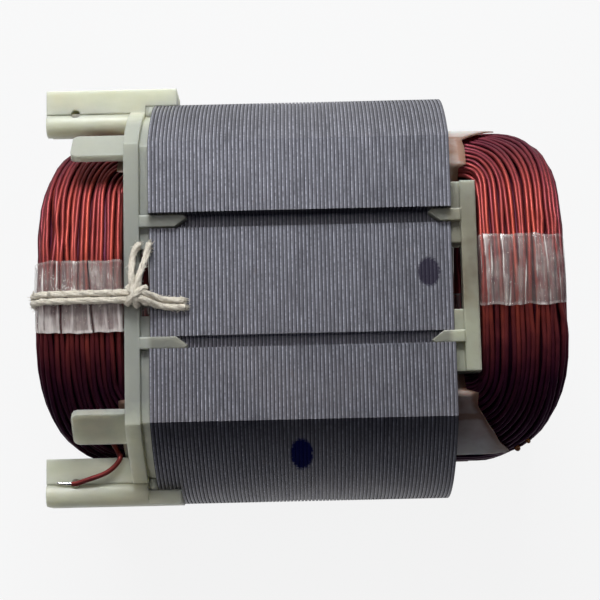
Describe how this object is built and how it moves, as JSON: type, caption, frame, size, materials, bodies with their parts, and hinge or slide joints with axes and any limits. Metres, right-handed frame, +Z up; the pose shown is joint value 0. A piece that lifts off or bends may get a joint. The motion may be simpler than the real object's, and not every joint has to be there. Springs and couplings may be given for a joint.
{
  "type": "wound motor stator",
  "caption": "Two-pole wound field stator of a universal motor: laminated steel core, saddle coils of enamelled wire, moulded end frame with terminal posts",
  "frame": {"origin": "on the bore axis, midway along the laminations", "axes": "+X along the bore, away from the terminal posts; +Y from the front post to the back post; +Z up through the upper pole, with the part lying on the flats of the lower pole"},
  "size_m": [0.0919, 0.0745, 0.0581],
  "materials": {
    "lamination_steel": "bare stacked sheet edges",
    "natural_nylon": "natural moulded nylon",
    "enamelled_copper": "red-brown enamel over copper wire",
    "liner_paper": "translucent brown insulation sheet",
    "film_tape": "clear film",
    "cotton_cord": "natural cotton",
    "tinned_brass": "tinned"
  },
  "bodies": {
    "root": {"lamination_stack": "lamination_steel", "terminal_end_frame": "natural_nylon", "upper_pole_cap": "natural_nylon", "lower_pole_cap": "natural_nylon", "upper_coil": "enamelled_copper", "lower_coil": "enamelled_copper", "slot_liner_upper_front": "liner_paper", "slot_liner_upper_back": "liner_paper", "slot_liner_lower_front": "liner_paper", "slot_liner_lower_back": "liner_paper", "coil_tape_upper_terminal": "film_tape", "coil_tape_upper_plain": "film_tape", "coil_tape_lower_terminal": "film_tape", "coil_tape_lower_plain": "film_tape", "lacing_cord": "cotton_cord", "front_terminal": "tinned_brass", "back_terminal": "tinned_brass", "upper_lead_front": "enamelled_copper", "upper_lead_back": "enamelled_copper", "lower_lead_front": "enamelled_copper", "lower_lead_back": "enamelled_copper"}
  },
  "joints": []
}
